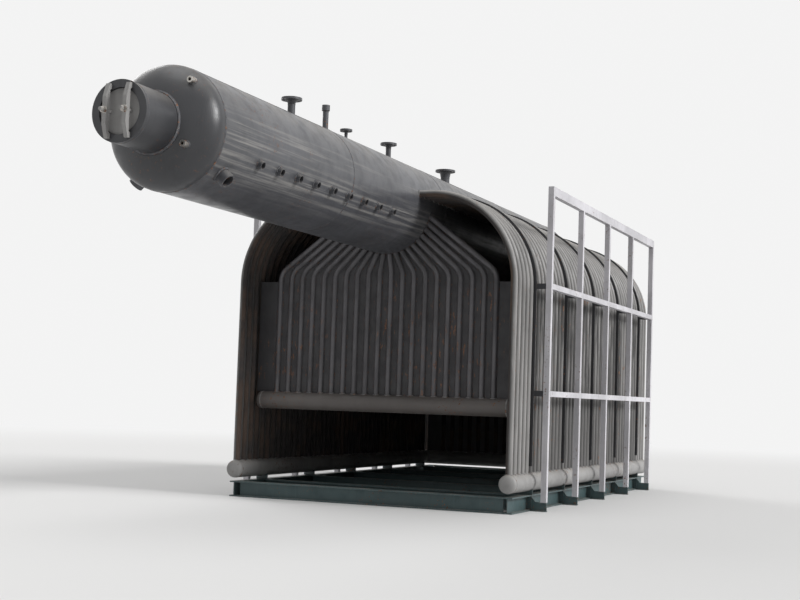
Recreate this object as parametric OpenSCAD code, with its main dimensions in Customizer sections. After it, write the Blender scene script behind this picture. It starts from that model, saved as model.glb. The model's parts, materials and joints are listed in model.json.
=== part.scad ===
// Water-tube boiler module: a long steam drum lying in a loaf-shaped casing of finned tube walls.
// Millimetres. +Z up, the drum's overhanging front end points to -X.
// Origin: middle of the base frame's underside, at the middle cross beam.

/* [Drum] */
// Inside diameter of the steam drum
drum_id = 800; // [760:10:840]
// Plate thickness of the drum shell and heads
drum_wall = 25; // [16:1:32]
// Height of the drum's axis above the floor
drum_z = 2675; // [2600:5:2750]
// Drum from the front of the tube walls to its front tangent line
drum_overhang = 3420; // [2900:10:3800]
// Drum from the rear of the tube walls to its rear tangent line, inside the casing
drum_rear_set = 268; // [240:2:320]
// Straight cylindrical skirt of each head
head_skirt = 40; // [25:5:60]

/* [Manhole] */
// Outside diameter of the manhole neck
neck_od = 406; // [380:2:420]
// Wall of the manhole neck
neck_wall = 16; // [10:1:20]
// Face of the neck ahead of the drum's front tangent line
neck_reach = 560; // [440:10:640]
// Thickness of the seat ring at the neck's mouth
ring_t = 30; // [20:2:40]
// Clear opening of the manhole
manhole_bore = 300; // [280:5:320]
// Thickness of the cover
cover_t = 25; // [16:1:32]
// Depth of each yoke across the mouth
yoke_h = 55; // [40:5:70]
// Thickness of each yoke
yoke_t = 28; // [20:2:36]
// Stud diameter of the cover
stud_d = 24; // [20:2:30]

/* [Top nozzles] */
// First nozzle, ahead of the front of the tube walls
nozzle_1_ahead = 1670; // [1600:10:1740]
// Second nozzle, ahead of the front of the tube walls
nozzle_2_ahead = 1060; // [1000:10:1120]
// Third nozzle, ahead of the front of the tube walls
nozzle_3_ahead = 656; // [600:4:700]
// Fourth nozzle, behind the front of the tube walls
nozzle_4_behind = 256; // [200:4:320]
// Fifth nozzle, the main steam outlet, behind the front of the tube walls
nozzle_5_behind = 1710; // [1600:10:1800]
// Height of the first nozzle's flange face above the drum
nozzle_1_h = 160; // [120:5:200]
// Height of the second nozzle's end above the drum
nozzle_2_h = 230; // [180:5:280]
// Height of the third nozzle's flange face above the drum
nozzle_3_h = 110; // [90:5:160]
// Height of the fourth nozzle's flange face above the drum
nozzle_4_h = 160; // [120:5:200]
// Height of the main steam flange face above the drum
nozzle_5_h = 155; // [130:5:200]
// Thickness of the flanges
flange_t = 20; // [16:1:24]
// Height of the flanges' raised faces
raised_face = 2; // [1:0.5:3]
// Wall of the nozzle pipes
nozzle_wall = 5; // [4:0.5:6]

/* [Side fittings] */
// Side nozzle, behind the drum's front tangent line
side_nozzle_back = 200; // [180:5:260]
// Angle of the side nozzle below the horizontal
side_nozzle_angle = 43; // [36:1:50]
// Outside diameter of the side nozzles
side_nozzle_od = 108; // [76:1:114]
// Reach of the side nozzles beyond the drum
side_nozzle_reach = 70; // [40:5:100]
// Number of riser stubs in each row under the overhang
stub_count = 9; // [6:1:9]
// Last riser stub, ahead of the front of the tube walls
stub_ahead = 540; // [480:10:600]
// Spacing of the riser stubs
stub_pitch = 290; // [250:5:295]
// Angle of the riser stubs below the horizontal
stub_angle = 22; // [18:1:26]
// Outside diameter of the riser stubs
stub_od = 60; // [51:1:63]
// Reach of the riser stubs beyond the drum
stub_reach = 35; // [25:5:60]
// Height of the upper gauge socket above the drum axis
gauge_up = 284; // [260:2:290]
// Depth of the lower gauge socket below the drum axis
gauge_down = 148; // [130:2:180]
// Sideways place of the gauge sockets
gauge_y = 245; // [235:1:255]
// Outside diameter of the gauge sockets
gauge_od = 44; // [36:2:48]

/* [Tube walls] */
// Outside diameter of the side wall tubes
tube_od = 60; // [51:1:63]
// Spacing of the tubes
tube_pitch = 112; // [106:1:116]
// Thickness of the fins between the tubes
fin_t = 6; // [5:1:8]
// Half width of the casing at the tube centre lines
wall_y = 1313; // [1290:1:1330]
// Height of the roof tubes' centre lines
roof_z = 2750; // [2720:5:2790]
// Radius of the shoulders at the tube centre lines
shoulder_r = 778; // [720:2:820]
// Outside diameter of the end wall tubes
end_tube_od = 51; // [42:1:54]
// Number of tubes on each half of an end wall
end_tubes_half = 10; // [9:1:10]
// Depth by which the end walls stand inside the casing
end_recess = 300; // [260:5:340]
// Height at which the end wall tubes bend towards the drum
end_bend_z = 2080; // [2020:5:2100]
// Bend radius of the end wall tubes
end_bend_r = 150; // [120:5:180]
// Spacing of the end wall tubes round the drum
drum_tube_pitch = 60; // [57:1:62]

/* [Headers] */
// Outside diameter of the headers
header_od = 159; // [133:1:168]
// Wall of the headers
header_wall = 8; // [6:1:12]
// Height of the bottom headers' axes
bottom_header_z = 250; // [240:2:280]
// Height of the front header's axis over the fire mouth
front_header_z = 890; // [820:5:960]
// Straight skirt of the header caps
cap_skirt = 20; // [12:2:30]

/* [Hoops] */
// Number of tubes ahead of the first hoop
tubes_before_hoop = 5; // [4:1:6]
// Number of tubes from one hoop to the next
tubes_per_bay = 9; // [8:1:10]
// Number of tubes behind the last hoop
tubes_behind_hoop = 4; // [4:1:6]
// Number of bays
bays = 4; // [3:1:5]
// Thickness of the hoop bars
hoop_t = 12; // [8:1:16]
// Height of the hoop bars above the tubes
hoop_proud = 16; // [10:2:30]
// Lower end of the hoop bars above the bottom headers
hoop_rise = 60; // [40:5:120]
// Upper end of the hoop bars off the drum
hoop_off_drum = 30; // [20:2:60]

/* [Base frame] */
// Height of the base beams
beam_h = 140; // [120:2:150]
// Flange width of the base beams
beam_w = 90; // [74:2:110]
// Web thickness of the base beams
beam_web = 8; // [6:1:10]
// Flange thickness of the base beams
beam_flange = 12; // [8:1:14]
// Thickness of the header saddles
saddle_t = 16; // [12:1:24]
// Width of the header saddles
saddle_w = 114; // [90:2:120]
// Height by which the saddles rise round the headers
saddle_wrap = 48; // [24:2:56]

/* [Side frames] */
// Half width over the side frames
frame_y = 1500; // [1480:1:1560]
// Side of the square posts and rails
post_w = 50; // [40:2:60]
// Wall of the frame tubes
post_wall = 4; // [3:0.5:6]
// Height of the outriggers that carry the posts
outrigger_h = 80; // [70:2:100]
// Thickness of the outriggers' web plates
outrigger_t = 12; // [8:1:16]
// Thickness of the outriggers' soles and seats
outrigger_plate = 8; // [6:1:12]
// Height of the lower rail's centre line
rail_low_z = 1027; // [960:5:1080]
// Height of the upper rail's centre line
rail_high_z = 1974; // [1920:2:1990]
// Top of the side frames
frame_top_z = 2860; // [2780:5:2940]
// Depth of the top rail
top_rail_h = 80; // [60:2:100]
// Thickness of the stand-off brackets
bracket_t = 10; // [8:1:14]
// Height of the stand-off brackets
bracket_h = 50; // [40:2:70]

/* [Hidden] */

$fn = 96;
// Clearance left between pieces that are welded together on the real boiler
seat = 0.3;
// Overlap used only inside a cut, so that it passes right through
through = 5;
// The same on the drum's curved wall, and past the ends of the walls
far_through = 60;
// Depth by which nozzles and tubes stand inside the drum wall
into_drum = 5;

// Pipe flanges: pipe diameter, flange diameter, bolt circle, bolt holes, hole diameter, hub length
dn80 = [89, 200, 160, 8, 18, 60];
dn50 = [60, 165, 125, 4, 18, 27];
dn40 = [48, 150, 110, 4, 18, 24];
dn20 = [27, 105, 75, 4, 14, 20];

bay = tubes_per_bay * tube_pitch;
side_tubes = tubes_before_hoop + bays * tubes_per_bay + tubes_behind_hoop;
body_len = (side_tubes - 1) * tube_pitch + tube_od;
body_front = -(tube_od / 2 + (tubes_before_hoop - 0.5) * tube_pitch + bays / 2 * bay);
body_rear = body_front + body_len;
first_tube = body_front + tube_od / 2;
hoop_xs = [for (i = [0 : bays]) (i - bays / 2) * bay];

drum_r = drum_id / 2 + drum_wall;
drum_front = body_front - drum_overhang;
drum_rear = body_rear - drum_rear_set;
drum_top = drum_z + drum_r;
neck_face = drum_front - neck_reach;
neck_r = neck_od / 2;
shoulder_y = wall_y - shoulder_r;
shoulder_z = roof_z - shoulder_r;
front_wall_x = body_front + end_recess;
rear_wall_x = body_rear - end_recess;
header_r = header_od / 2;
cap_depth = header_od / 4;
fin_face = wall_y + fin_t / 2 + seat;
hoop_outer = wall_y + tube_od / 2 + hoop_proud;
post_inner = frame_y - post_w;
post_top = frame_top_z - top_rail_h;
stub_first = body_front - stub_ahead - (stub_count - 1) * stub_pitch;

drum_paint = "#3a3d42";
tube_paint = "#55575a";
frame_paint = "#c9c9cc";
base_paint = "#2f4448";
pipe_paint = "#77797c";

// Placing helpers

module mirror_y() {
    children();
    mirror([0, 1, 0]) children();
}

// Turns a shape drawn with its length along Z so that it lies along X, with its X to Y and Y to Z
module lie_x() {
    rotate([90, 0, 90]) children();
}

// Axis of something that leaves the drum at an angle below the horizontal, on the +Y side
module drum_radial(x, below) {
    translate([x, 0, drum_z]) rotate([-90 - below, 0, 0]) children();
}

// Drum

function head_arc(a, b) = [for (t = [0 : 3 : 90]) [a * cos(t), b * sin(t)]];

// Dished end: half-ellipse shell with a straight skirt, drawn with its crown towards +Z
module dished_end(r, wall, skirt) {
    outer = head_arc(r, r / 2);
    inner = head_arc(r - wall, r / 2 - wall);
    back = [for (i = [len(inner) - 1 : -1 : 0]) inner[i]];
    rotate_extrude() polygon(concat([[r - wall, -skirt], [r, -skirt]], outer, back));
}

module drum_hole(od) {
    translate([0, 0, drum_id / 2 - far_through])
        cylinder(h = drum_wall + 2 * far_through, r = od / 2 + seat);
}

module drum_shell() {
    color(drum_paint)
        difference() {
            translate([drum_front + head_skirt + seat, 0, drum_z])
                lie_x()
                difference() {
                    cylinder(h = drum_rear - drum_front - 2 * (head_skirt + seat), r = drum_r);
                    translate([0, 0, -through])
                        cylinder(h = drum_rear - drum_front, r = drum_id / 2);
                }
            for (n = top_nozzles()) drum_radial(n[0], -90) drum_hole(n[1][0]);
            mirror_y() drum_radial(drum_front + side_nozzle_back, side_nozzle_angle)
                drum_hole(side_nozzle_od);
            mirror_y() for (x = stub_xs()) drum_radial(x, stub_angle) drum_hole(stub_od);
        }
}

module drum_front_head() {
    color(drum_paint)
        difference() {
            translate([drum_front, 0, drum_z]) mirror([1, 0, 0]) lie_x()
                dished_end(drum_r, drum_wall, head_skirt);
            translate([drum_front - drum_r, 0, drum_z]) lie_x()
                cylinder(h = drum_r, r = neck_r + seat);
            for (z = gauge_zs()) translate([drum_front - drum_r, -gauge_y, drum_z + z]) lie_x()
                cylinder(h = drum_r, r = gauge_od / 2 + seat);
        }
}

module drum_rear_head() {
    color(drum_paint) translate([drum_rear, 0, drum_z]) lie_x()
        dished_end(drum_r, drum_wall, head_skirt);
}

// Manhole: all drawn outward along +Z from the drum's front tangent line

module at_manhole() {
    translate([drum_front, 0, drum_z]) mirror([1, 0, 0]) lie_x() children();
}

// Root of the neck inside the head's crown
neck_root = 40;

module manhole_neck() {
    bore = neck_r - neck_wall;
    inside = drum_r / 2 - drum_wall - neck_root;
    color(drum_paint) at_manhole() rotate_extrude() polygon([
        [bore, inside], [neck_r, inside], [neck_r, neck_reach],
        [manhole_bore / 2, neck_reach], [manhole_bore / 2, neck_reach - ring_t],
        [bore, neck_reach - ring_t]
    ]);
}

yoke_y = manhole_bore / 4;
cover_back = neck_reach - ring_t - seat - cover_t;
// Lap of the cover behind the ring, and its clearance inside the ring
cover_lap = 18;
cover_clear = 3;
// Free end of the studs past the yokes, and standard nut sizes
stud_end = 45;
stud_len = cover_t + ring_t + yoke_h + stud_end;
nut_h = 0.8 * stud_d;
nut_corners = 1.75 * stud_d;

module manhole_cover() {
    color(pipe_paint) at_manhole() translate([0, 0, cover_back]) {
        cylinder(h = cover_t, r = manhole_bore / 2 + cover_lap);
        cylinder(h = cover_t + ring_t / 2, r = manhole_bore / 2 - cover_clear);
        for (s = [-1, 1]) translate([s * yoke_y, 0, 0]) cylinder(h = stud_len, d = stud_d);
    }
}

// Bearing of a yoke on the ring, length of its feet, slope and height of its arch, its ends' depth
yoke_bearing = 24;
yoke_foot = 30;
yoke_slope = 12;
yoke_arch = 16;
yoke_end = 24;

// Bridge bar that bears on the ring at both ends and clears the cover in the middle
module yoke() {
    half = manhole_bore / 2 + yoke_bearing;
    foot = half - yoke_foot;
    arch = foot - yoke_slope;
    difference() {
        rotate([90, 0, 90]) translate([0, 0, -yoke_t / 2]) linear_extrude(yoke_t) polygon([
            [-half, 0], [-foot, 0], [-arch, yoke_arch], [arch, yoke_arch], [foot, 0], [half, 0],
            [half, yoke_end], [half / 2, yoke_h], [-half / 2, yoke_h], [-half, yoke_end]
        ]);
        translate([0, 0, -through]) cylinder(h = yoke_h + 2 * through, d = stud_d + 2);
    }
}

module manhole_yokes() {
    color(pipe_paint) at_manhole() for (s = [-1, 1])
        translate([s * yoke_y, 0, neck_reach + seat]) yoke();
}

module manhole_nuts() {
    color("#8d8f92") at_manhole() for (s = [-1, 1])
        translate([s * yoke_y, 0, neck_reach + yoke_h + 2 * seat]) difference() {
            cylinder(h = nut_h, d = nut_corners, $fn = 6);
            translate([0, 0, -through]) cylinder(h = nut_h + 2 * through, d = stud_d + seat);
        }
}

// Nozzles: each drawn upward along +Z from the drum's axis

function top_nozzles() = [
    [body_front - nozzle_1_ahead, dn50, nozzle_1_h],
    [body_front - nozzle_2_ahead, dn40, nozzle_2_h],
    [body_front - nozzle_3_ahead, dn20, nozzle_3_h],
    [body_front + nozzle_4_behind, dn40, nozzle_4_h],
    [body_front + nozzle_5_behind, dn80, nozzle_5_h]
];

// Room for the nuts beside a flange's hub, and the raised face beyond the hub
nut_room = 14;
face_lap = 6;

// Weld-neck flange on a pipe that passes through the drum wall
module flanged_nozzle(dn, face) {
    pipe = dn[0] / 2;
    bore = pipe - nozzle_wall;
    hub = (dn[2] - dn[4]) / 2 - nut_room;
    low = drum_id / 2 - into_drum;
    under = face - flange_t;
    rim = face - raised_face;
    difference() {
        rotate_extrude() polygon([
            [bore, low], [pipe, low], [pipe, under - dn[5]], [hub, under],
            [dn[1] / 2, under], [dn[1] / 2, rim], [hub + face_lap + raised_face, rim],
            [hub + face_lap, face], [bore, face]
        ]);
        for (i = [0 : dn[3] - 1]) rotate((i + 0.5) * 360 / dn[3])
            translate([dn[2] / 2, 0, under - through])
            cylinder(h = flange_t + 2 * through, d = dn[4]);
    }
}

module top_nozzle(i) {
    n = top_nozzles()[i];
    color(drum_paint) translate([n[0], 0, drum_z]) flanged_nozzle(n[1], drum_r + n[2]);
}

module top_nozzle_1() {
    top_nozzle(0);
}

// Coupling of the vent: length, wall beyond the pipe, and bevel
coupling_len = 50;
coupling_wall = 9;
coupling_bevel = 4;

// Plain vent pipe that ends in a screwed coupling
module top_nozzle_2() {
    n = top_nozzles()[1];
    pipe = n[1][0] / 2;
    bore = pipe - nozzle_wall;
    sleeve = pipe + coupling_wall;
    low = drum_id / 2 - into_drum;
    end = drum_r + n[2];
    color(drum_paint) translate([n[0], 0, drum_z]) rotate_extrude() polygon([
        [bore, low], [pipe, low], [pipe, end - coupling_len],
        [sleeve, end - coupling_len + coupling_bevel], [sleeve, end], [bore, end]
    ]);
}

module top_nozzle_3() {
    top_nozzle(2);
}

module top_nozzle_4() {
    top_nozzle(3);
}

module main_steam_nozzle() {
    top_nozzle(4);
}

// Open pipe end that stands through the drum wall
module pipe_stub(od, wall, reach) {
    length = into_drum + drum_wall + reach;
    translate([0, 0, drum_id / 2 - into_drum]) difference() {
        cylinder(h = length, d = od);
        translate([0, 0, -through]) cylinder(h = length + 2 * through, d = od - 2 * wall);
    }
}

function stub_xs() = [for (i = [0 : stub_count - 1]) stub_first + i * stub_pitch];

module side_nozzles() {
    color(drum_paint) mirror_y() drum_radial(drum_front + side_nozzle_back, side_nozzle_angle)
        pipe_stub(side_nozzle_od, 2 * nozzle_wall, side_nozzle_reach);
}

module riser_stubs() {
    color(drum_paint) mirror_y() for (x = stub_xs()) drum_radial(x, stub_angle)
        pipe_stub(stub_od, nozzle_wall, stub_reach);
}

function gauge_zs() = [gauge_up, -gauge_down];

// How far ahead of the tangent line the head's outer face lies at this radius
function head_face(r) = drum_r / 2 * sqrt(1 - pow(r / drum_r, 2));

// Reach of the gauge sockets inside and outside the head at their axes
gauge_in = 25;
gauge_out = 45;

module gauge_sockets() {
    length = gauge_in + drum_wall + gauge_out;
    color(pipe_paint) for (z = gauge_zs()) {
        face = head_face(norm([gauge_y, z]));
        translate([drum_front, -gauge_y, drum_z + z]) mirror([1, 0, 0]) lie_x()
            translate([0, 0, face - drum_wall - gauge_in]) difference() {
                cylinder(h = length, d = gauge_od);
                translate([0, 0, -through]) cylinder(h = length + 2 * through, d = gauge_od / 2);
            }
    }
}

// Tube walls

// Cross section of a finned tube wall: a row of tubes along X with a fin in each gap
module membrane(count, od) {
    for (i = [0 : count - 1]) translate([i * tube_pitch, 0]) circle(d = od);
    translate([0, -fin_t / 2]) square([(count - 1) * tube_pitch, fin_t]);
}

module bottom_header_cut() {
    translate([body_front - far_through, wall_y, bottom_header_z]) lie_x()
        cylinder(h = body_len + 2 * far_through, r = header_r + seat);
}

module drum_cut() {
    translate([body_front - far_through, 0, drum_z]) lie_x()
        cylinder(h = body_len + 2 * far_through, r = drum_r + seat);
}

module side_wall() {
    color(tube_paint) difference() {
        translate([first_tube, wall_y, bottom_header_z])
            linear_extrude(shoulder_z - bottom_header_z) membrane(side_tubes, tube_od);
        bottom_header_cut();
    }
}

module side_wall_left() {
    side_wall();
}

module side_wall_right() {
    mirror([0, 1, 0]) side_wall();
}

// Quarter bend of all the tubes, then the short roof that ends on the drum
module shoulder() {
    color(tube_paint) difference() {
        union() {
            translate([first_tube, shoulder_y, shoulder_z]) lie_x()
                rotate_extrude(angle = 90) translate([shoulder_r, 0]) rotate(90)
                membrane(side_tubes, tube_od);
            translate([first_tube, shoulder_y, roof_z]) rotate([90, 0, 0])
                linear_extrude(shoulder_y - drum_r + far_through) membrane(side_tubes, tube_od);
        }
        drum_cut();
    }
}

module shoulder_left() {
    shoulder();
}

module shoulder_right() {
    mirror([0, 1, 0]) shoulder();
}

function end_tube_y(k) = (k - 0.5) * tube_pitch;
function end_tube_turn(k) = (k - 0.5) * drum_tube_pitch / drum_r * 180 / PI;
// Where an end wall tube meets the drum, and how far it leans there
function end_tube_meet(k) = [drum_r * sin(end_tube_turn(k)), drum_z - drum_r * cos(end_tube_turn(k))];
function end_tube_lean(k) = atan2(end_tube_y(k) - end_tube_meet(k)[0], end_tube_meet(k)[1] - end_bend_z);
function end_tube_trim(k) = end_bend_r * tan(end_tube_lean(k) / 2);
// The straight fins of the end walls stop this far below the first bend and this far from the sides
fin_stop = 10;
fin_gap = 8;
end_fin_top = floor(end_bend_z - end_tube_trim(end_tubes_half) - fin_stop);

// The bend is drawn a touch thicker than the tube, and the straights run this far into it
bend_swell = 0.4;
bend_lap = 1;
// The tubes run on this far past the drum's surface, which then cuts them off
fan_over = 20;

// One end wall tube: straight, bend, straight to just inside the drum
module fan_tube(k, low) {
    y = end_tube_y(k);
    lean = end_tube_lean(k);
    trim = end_tube_trim(k);
    run = norm([y - end_tube_meet(k)[0], end_tube_meet(k)[1] - end_bend_z]);
    translate([0, y, low]) cylinder(h = end_bend_z - trim - low + bend_lap, d = end_tube_od);
    translate([0, y - end_bend_r, end_bend_z - trim]) lie_x() rotate_extrude(angle = lean)
        translate([end_bend_r, 0]) circle(d = end_tube_od + bend_swell);
    translate([0, y, end_bend_z]) rotate([lean, 0, 0]) translate([0, 0, trim - bend_lap])
        cylinder(h = run - trim + bend_lap + fan_over, d = end_tube_od);
}

// Outline of the fins in the fan, along the outermost tubes' centre lines and across the drum
function fan_outline() = let (y = end_tube_y(end_tubes_half), meet = end_tube_meet(end_tubes_half)) [
    [-y, end_fin_top - through], [y, end_fin_top - through], [y, end_bend_z], meet,
    [-meet[0], meet[1]], [-y, end_bend_z]
];

// End wall: finned tubes rising from a cross header and fanning in to the drum
module end_wall(x, header_z) {
    half = wall_y - tube_od / 2 - fin_gap;
    color(tube_paint) difference() {
        translate([x, 0, 0]) union() {
            translate([-fin_t / 2, -half, header_z]) cube([fin_t, 2 * half, end_fin_top - header_z]);
            translate([-fin_t / 2, 0, 0]) lie_x() linear_extrude(fin_t) polygon(fan_outline());
            mirror_y() for (k = [1 : end_tubes_half]) fan_tube(k, header_z);
        }
        drum_cut();
        translate([x, wall_y, header_z]) rotate([90, 0, 0])
            cylinder(h = 2 * wall_y, r = header_r + seat);
    }
}

module front_wall() {
    end_wall(front_wall_x, front_header_z);
}

module rear_wall() {
    end_wall(rear_wall_x, bottom_header_z);
}

// Headers

module header_pipe(length) {
    difference() {
        cylinder(h = length, r = header_r);
        translate([0, 0, -through]) cylinder(h = length + 2 * through, r = header_r - header_wall);
    }
}

header_inset = cap_skirt + seat;
// Room between the front header's caps and the side walls
cap_room = 20;
front_header_half = wall_y - tube_od / 2 - cap_depth - cap_skirt - cap_room;

module side_header() {
    color(pipe_paint) translate([body_front + header_inset, wall_y, bottom_header_z]) lie_x()
        header_pipe(body_len - 2 * header_inset);
}

module side_header_left() {
    side_header();
}

module side_header_right() {
    mirror([0, 1, 0]) side_header();
}

module front_header() {
    color(pipe_paint) translate([front_wall_x, front_header_half, front_header_z])
        rotate([90, 0, 0]) header_pipe(2 * front_header_half);
}

module rear_header() {
    color(pipe_paint) difference() {
        translate([rear_wall_x, wall_y, bottom_header_z]) rotate([90, 0, 0]) header_pipe(2 * wall_y);
        mirror_y() bottom_header_cut();
    }
}

module header_cap() {
    dished_end(header_r, header_wall, cap_skirt);
}

module header_caps() {
    color(pipe_paint) mirror_y() {
        translate([body_front + cap_skirt, wall_y, bottom_header_z]) mirror([1, 0, 0]) lie_x()
            translate([0, 0, cap_skirt]) header_cap();
        translate([body_rear - cap_skirt, wall_y, bottom_header_z]) lie_x()
            translate([0, 0, cap_skirt]) header_cap();
        translate([front_wall_x, front_header_half + seat + cap_skirt, front_header_z])
            rotate([-90, 0, 0]) header_cap();
    }
}

// Hoops: flat bars that stand on the fins, up the side and over the shoulder

module hoop() {
    hoop_low = bottom_header_z + header_r + hoop_rise;
    hoop_end = drum_r + hoop_off_drum;
    depth = hoop_outer - fin_face;
    inner_r = fin_face - shoulder_y;
    translate([-hoop_t / 2, fin_face, hoop_low]) cube([hoop_t, depth, shoulder_z - hoop_low]);
    translate([-hoop_t / 2, shoulder_y, shoulder_z]) lie_x()
        rotate_extrude(angle = 90) translate([inner_r, 0]) square([depth, hoop_t]);
    translate([-hoop_t / 2, hoop_end, shoulder_z + inner_r])
        cube([hoop_t, shoulder_y - hoop_end, depth]);
}

module hoops() {
    color(drum_paint) for (x = hoop_xs) translate([x, 0, 0]) hoop();
}

module hoops_left() {
    hoops();
}

module hoops_right() {
    mirror([0, 1, 0]) hoops();
}

// Base frame

module i_section() {
    translate([-beam_w / 2, 0]) square([beam_w, beam_flange]);
    translate([-beam_w / 2, beam_h - beam_flange]) square([beam_w, beam_flange]);
    translate([-beam_web / 2, 0]) square([beam_web, beam_h]);
}

module base_beams() {
    color(base_paint) mirror_y() translate([body_front, wall_y, 0]) lie_x()
        linear_extrude(body_len) i_section();
}

cross_xs = concat([body_front + beam_w / 2], hoop_xs, [body_rear - beam_w / 2]);
beam_inner = wall_y - beam_w / 2;
beam_outer = wall_y + beam_w / 2;

module cross_beams() {
    color(base_paint) for (x = cross_xs) translate([x, beam_inner, 0]) rotate([90, 0, 0])
        linear_extrude(2 * beam_inner) i_section();
}

// Slope of the outriggers' upper edge beside the beam, and margin of the seats inside the posts
outrigger_slope = 40;
seat_margin = 10;

// Outrigger: a web plate let in between the beam's flanges, with a sole and a seat for the post
module outrigger() {
    low = beam_flange + seat;
    high = beam_h - beam_flange - seat;
    web_side = wall_y + beam_web / 2 + seat;
    beam_side = beam_outer + seat;
    translate([-outrigger_t / 2, 0, 0]) lie_x() linear_extrude(outrigger_t) polygon([
        [web_side, low], [beam_side, low], [beam_side, 0], [frame_y, 0], [frame_y, outrigger_h],
        [beam_outer + outrigger_slope, outrigger_h], [beam_side, high], [web_side, high]
    ]);
    translate([-post_w / 2, post_inner - seat_margin, outrigger_h - outrigger_plate])
        cube([post_w, post_w + seat_margin, outrigger_plate]);
    translate([-post_w / 2, beam_side, 0]) cube([post_w, frame_y - beam_side, outrigger_plate]);
}

module outriggers() {
    color(base_paint) mirror_y() for (x = hoop_xs) translate([x, 0, 0]) outrigger();
}

// Saddle plate under a bottom header
module saddles() {
    color(base_paint) mirror_y() for (x = hoop_xs) difference() {
        translate([x - saddle_t / 2, wall_y - saddle_w / 2, beam_h])
            cube([saddle_t, saddle_w, bottom_header_z - header_r + saddle_wrap - beam_h]);
        bottom_header_cut();
    }
}

// Side frames

module square_tube_2d(w, h) {
    difference() {
        square([w, h]);
        translate([post_wall, post_wall]) square([w - 2 * post_wall, h - 2 * post_wall]);
    }
}

module frame_posts() {
    color(frame_paint) for (x = hoop_xs) translate([x - post_w / 2, post_inner, outrigger_h])
        linear_extrude(post_top - outrigger_h) square_tube_2d(post_w, post_w);
}

module frame_rails() {
    color(frame_paint) for (i = [0 : bays - 1]) for (z = [rail_low_z, rail_high_z])
        translate([hoop_xs[i] + post_w / 2, post_inner, z - post_w / 2]) lie_x()
        linear_extrude(bay - post_w) square_tube_2d(post_w, post_w);
}

// Thickness of the plates that close the ends of the top rail
rail_end_t = 4;

module top_rail() {
    length = bays * bay + post_w;
    inset = rail_end_t + seat;
    color(frame_paint) translate([hoop_xs[0] - post_w / 2, post_inner, post_top]) lie_x() {
        translate([0, 0, inset]) linear_extrude(length - 2 * inset)
            square_tube_2d(post_w, top_rail_h);
        for (z = [0, length - rail_end_t]) translate([0, 0, z])
            cube([post_w, top_rail_h, rail_end_t]);
    }
}

module brackets() {
    color(drum_paint) for (x = hoop_xs) for (z = [rail_low_z, rail_high_z])
        translate([x - bracket_t / 2, hoop_outer + seat, z - bracket_h / 2])
        cube([bracket_t, post_inner - hoop_outer - 2 * seat, bracket_h]);
}

module frame_posts_left() {
    frame_posts();
}

module frame_posts_right() {
    mirror([0, 1, 0]) frame_posts();
}

module frame_rails_left() {
    frame_rails();
}

module frame_rails_right() {
    mirror([0, 1, 0]) frame_rails();
}

module top_rail_left() {
    top_rail();
}

module top_rail_right() {
    mirror([0, 1, 0]) top_rail();
}

module brackets_left() {
    brackets();
}

module brackets_right() {
    mirror([0, 1, 0]) brackets();
}

drum_shell();
drum_front_head();
drum_rear_head();
manhole_neck();
manhole_cover();
manhole_yokes();
manhole_nuts();
top_nozzle_1();
top_nozzle_2();
top_nozzle_3();
top_nozzle_4();
main_steam_nozzle();
side_nozzles();
riser_stubs();
gauge_sockets();
side_wall_left();
side_wall_right();
shoulder_left();
shoulder_right();
front_wall();
rear_wall();
side_header_left();
side_header_right();
front_header();
rear_header();
header_caps();
hoops_left();
hoops_right();
base_beams();
cross_beams();
outriggers();
saddles();
frame_posts_left();
frame_posts_right();
frame_rails_left();
frame_rails_right();
top_rail_left();
top_rail_right();
brackets_left();
brackets_right();
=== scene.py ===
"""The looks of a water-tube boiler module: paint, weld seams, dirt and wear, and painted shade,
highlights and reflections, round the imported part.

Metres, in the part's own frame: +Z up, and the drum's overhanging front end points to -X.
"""
import json
import math

import bpy
import numpy as np
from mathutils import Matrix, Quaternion, Vector


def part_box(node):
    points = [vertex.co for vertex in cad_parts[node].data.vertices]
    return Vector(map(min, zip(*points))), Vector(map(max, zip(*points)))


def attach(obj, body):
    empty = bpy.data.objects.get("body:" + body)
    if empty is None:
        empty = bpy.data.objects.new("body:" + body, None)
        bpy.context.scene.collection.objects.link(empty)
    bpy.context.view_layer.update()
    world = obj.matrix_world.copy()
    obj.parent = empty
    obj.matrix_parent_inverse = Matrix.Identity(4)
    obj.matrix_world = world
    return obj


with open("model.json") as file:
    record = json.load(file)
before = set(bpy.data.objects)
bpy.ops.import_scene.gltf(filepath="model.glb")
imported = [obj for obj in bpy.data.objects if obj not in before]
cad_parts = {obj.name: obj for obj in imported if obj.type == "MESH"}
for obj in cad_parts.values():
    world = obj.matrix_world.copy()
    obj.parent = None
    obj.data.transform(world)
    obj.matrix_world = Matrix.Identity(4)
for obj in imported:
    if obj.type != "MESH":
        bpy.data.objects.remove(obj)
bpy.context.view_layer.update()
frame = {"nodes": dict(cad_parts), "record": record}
nodes = frame["nodes"]
mounts = {m["name"]: m for m in frame["record"]["mounts"]}
random = np.random.default_rng(7)

X = np.array([1.0, 0.0, 0.0])
Y = np.array([0.0, 1.0, 0.0])
Z = np.array([0.0, 0.0, 1.0])


# Sizes of the part, read from the frame where a node's box gives them

def middle(node):
    """The centre of a node's box."""
    low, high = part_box(node)
    return (low + high) / 2


shell_low, shell_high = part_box("drum_shell")
DRUM_R = (shell_high.y - shell_low.y) / 2
DRUM_Z = (shell_high.z + shell_low.z) / 2
DRUM_AXIS = DRUM_Z * Z
HEAD_SKIRT = 0.04
DRUM_FRONT = shell_low.x - HEAD_SKIRT
DRUM_REAR = shell_high.x + HEAD_SKIRT
HEAD_DEPTH = DRUM_R / 2
STUB_R = 0.03
SIDE_NOZZLE_R = 0.054

neck_low, neck_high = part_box("manhole_neck")
NECK_R = (neck_high.y - neck_low.y) / 2
NECK_FACE = neck_low.x
SEAT_RING_T = 0.03
YOKE_H = 0.055
STUD_Y = 0.075
STUD_R = 0.012

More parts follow.
